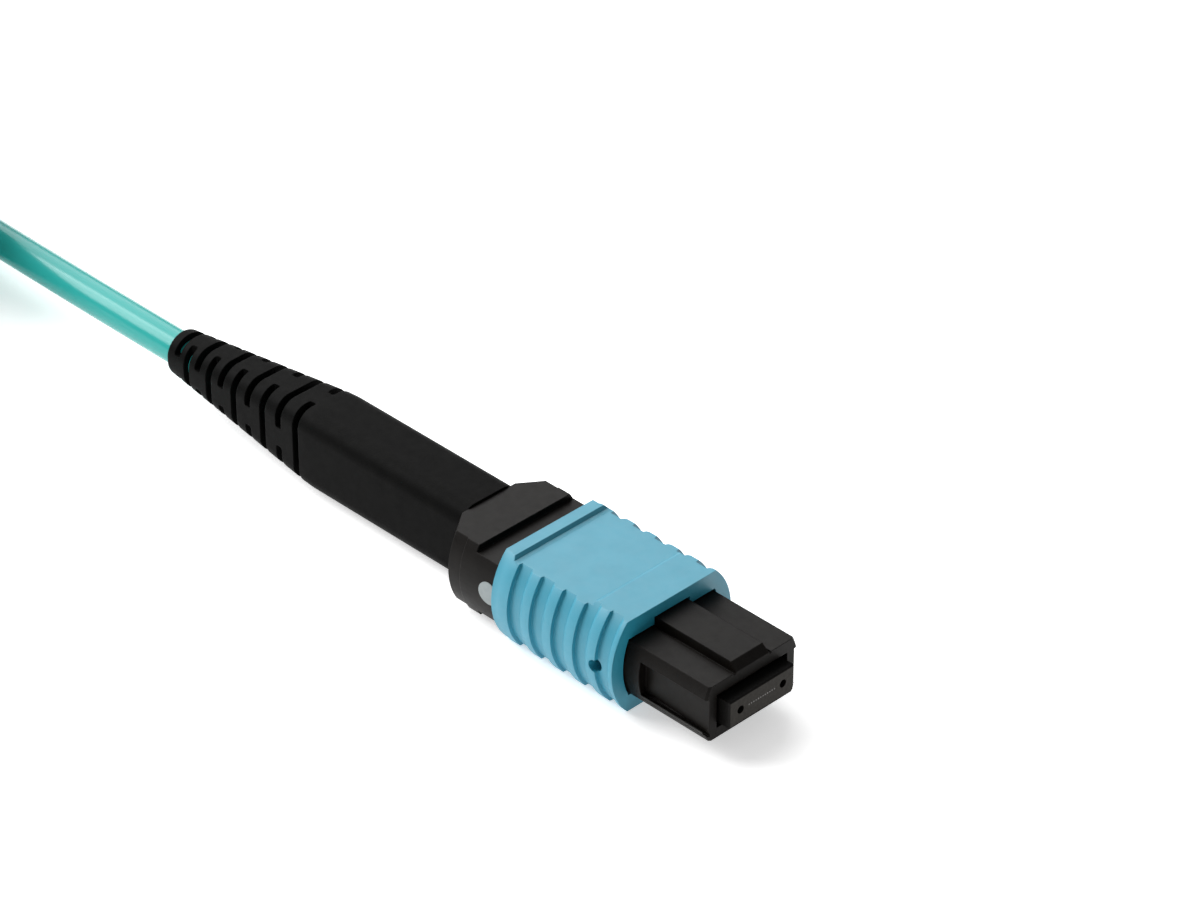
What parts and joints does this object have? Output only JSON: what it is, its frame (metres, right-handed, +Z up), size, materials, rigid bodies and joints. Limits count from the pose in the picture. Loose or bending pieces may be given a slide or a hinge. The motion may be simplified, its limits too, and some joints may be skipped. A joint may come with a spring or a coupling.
{
  "type": "mpo fibre connector",
  "caption": "Push-pull multi-fibre optical connector: keyed black plug with flat ferrule, ribbed aqua coupling sleeve, slotted strain-relief boot and round pigtail cord.",
  "frame": {"origin": "centre of the ferrule's end face, midway between the two guide bores, on the optical axis", "axes": "+X is the mating direction, away from the cord; +Z is up, on the side of the housing's key; +Y completes the set and runs along the row of fibres"},
  "size_m": [0.145, 0.0293, 0.0128],
  "materials": {
    "housing_black": "fine satin moulded black plastic",
    "sleeve_aqua": "satin moulded light blue plastic",
    "ferrule_grey": "glass-filled dark moulding, polished end face",
    "fibre_glass": "bare silica fibre",
    "resin": "cured epoxy resin",
    "boot_rubber": "matt black rubber",
    "silicone": "soft translucent rubber",
    "spring_steel": "bright drawn spring wire",
    "clamp_steel": "stamped steel",
    "crimp_metal": "nickel-washed brass",
    "yarn": "yellow aramid yarn",
    "ribbon": "coated fibre ribbon",
    "dot_white": "pale inlay",
    "cord_jacket": "glossy aqua cable jacket",
    "tie_black": "woven hook-and-loop strap"
  },
  "bodies": {
    "housing": {"ferrule_spring": "spring_steel", "inner_housing": "housing_black", "rear_body": "housing_black", "marker_dot": "dot_white", "sleeve_spring_left": "spring_steel", "sleeve_spring_right": "spring_steel", "crimp_ring": "crimp_metal", "aramid_yarn": "yarn", "cord_end": "cord_jacket", "strain_relief_boot": "boot_rubber", "cord": "cord_jacket", "cord_hank": "cord_jacket", "hank_tie_left": "tie_black", "hank_tie_right": "tie_black"},
    "sleeve": {"coupling_sleeve": "sleeve_aqua"},
    "ferrule": {"ferrule": "ferrule_grey", "fibre_array": "fibre_glass", "window_resin": "resin", "ferrule_boot": "silicone", "pin_keeper": "clamp_steel", "fibre_ribbon": "ribbon"}
  },
  "joints": [
    {"name": "sleeve_slide", "type": "slide", "parent": "housing", "child": "sleeve", "axis": [-1, 0, 0], "range_m": [0, 0.002], "stiffness_N_per_m": 1200, "springref_m": -0.0005, "deforming": ["sleeve_spring_left", "sleeve_spring_right"]},
    {"name": "ferrule_float", "type": "slide", "parent": "housing", "child": "ferrule", "axis": [-1, 0, 0], "range_m": [0, 0.0008], "stiffness_N_per_m": 3000, "springref_m": -0.003, "deforming": ["ferrule_spring"]}
  ]
}
